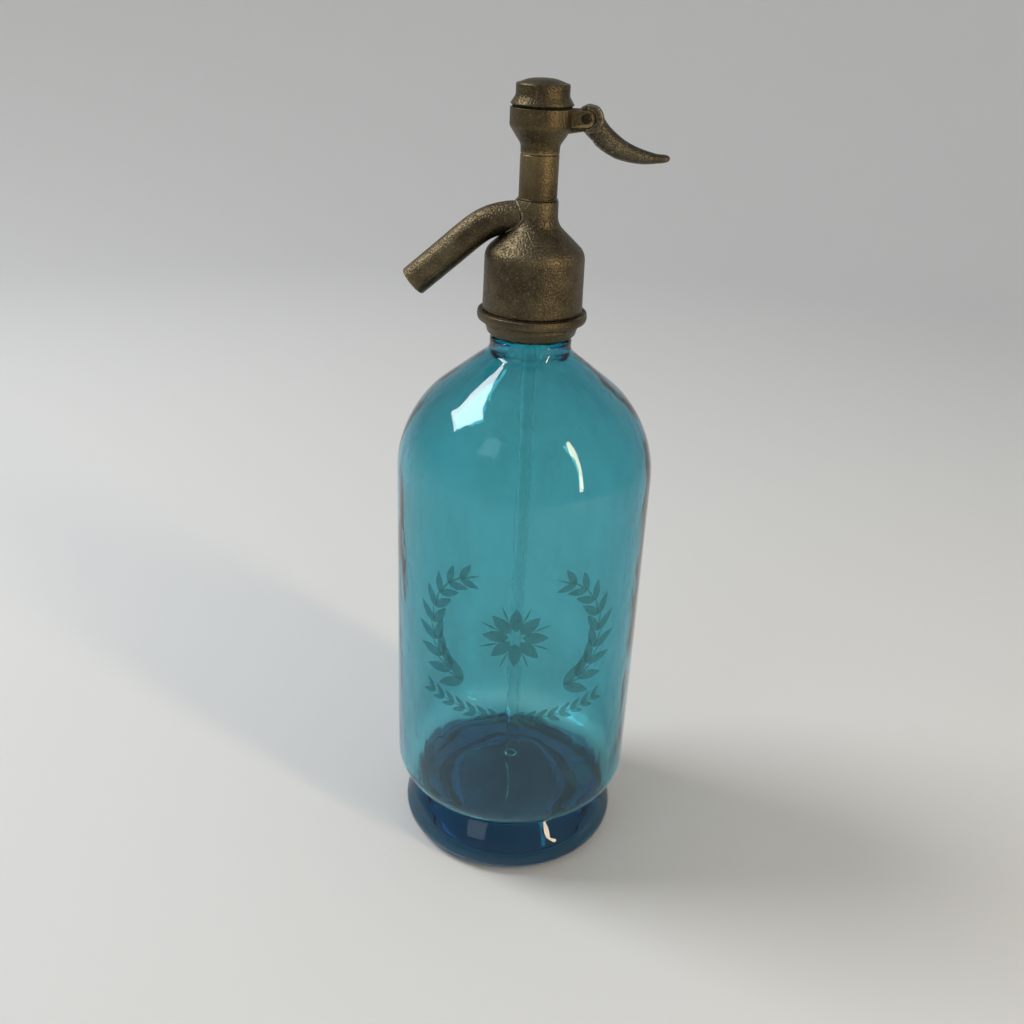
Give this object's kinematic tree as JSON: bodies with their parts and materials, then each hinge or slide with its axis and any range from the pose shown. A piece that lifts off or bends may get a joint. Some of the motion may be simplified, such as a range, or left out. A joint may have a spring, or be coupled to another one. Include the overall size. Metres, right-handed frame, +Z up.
{
  "type": "soda siphon",
  "caption": "Soda siphon with a round-shouldered glass bottle on a rolled foot, a cast metal head, a bent spout and a curved lever that lifts the valve.",
  "frame": {"origin": "centre of the ring that the foot rests on, on the bottle's axis", "axes": "+Z up along the bottle's axis, the lever towards +X and the spout towards -X"},
  "size_m": [0.1, 0.1, 0.3117],
  "materials": {
    "blue_glass": "clear teal-blue glass, greener in the thin shoulder and deep blue in the thick foot, with seeds and scuffs",
    "clear_glass": "thin clear glass tube",
    "cast_pewter": "dark brown patina over a cast, slightly pitted surface, rubbed to dull brass on the crown",
    "turned_pewter": "dark brown patina over turned metal with fine rings",
    "dark_bronze": "dark patina, worn at the edges",
    "cast_bronze": "dark cast metal polished by the thumb",
    "plain_brass": "machined brass, dulled by water",
    "cast_tin": "cast tin",
    "old_rubber": "aged black rubber",
    "packing_leather": "greased leather packing",
    "spring_steel": "spring steel"
  },
  "bodies": {
    "siphon": {"glass_bottle": "blue_glass", "dip_tube": "clear_glass", "tube_ferrule": "cast_tin", "tube_grommet": "old_rubber", "neck_gasket": "old_rubber", "ferrule_gasket": "old_rubber", "collar_ring": "dark_bronze", "split_ring_front": "plain_brass", "split_ring_back": "plain_brass", "head_bell": "cast_pewter", "valve_seat": "plain_brass", "column_tube": "turned_pewter", "spout_tube": "cast_pewter", "lever_cup": "turned_pewter", "piston_packing": "packing_leather", "packing_gland": "plain_brass", "screw_cap": "dark_bronze", "cap_washer": "old_rubber", "pivot_pin": "spring_steel", "return_spring": "spring_steel"},
    "lever": {"lever": "cast_bronze"},
    "piston": {"piston_rod": "plain_brass", "valve_foot": "plain_brass", "valve_washer": "old_rubber", "washer_screw": "plain_brass", "spring_seat": "plain_brass"}
  },
  "joints": [
    {"name": "lever_pivot", "type": "hinge", "parent": "siphon", "child": "lever", "pos_m": [0.0152, 0, 0.2994], "axis": [0, 1, 0], "range_deg": [0, 11], "stiffness_Nm_per_rad": 1.2, "springref_deg": -1.15},
    {"name": "valve_lift", "type": "slide", "parent": "siphon", "child": "piston", "axis": [0, 0, 1], "range_m": [0, 0.00272], "deforming": ["return_spring"]}
  ],
  "couplings": [
    {"joint": "lever_pivot", "follows": "valve_lift", "rad_per_m": 65.789}
  ]
}
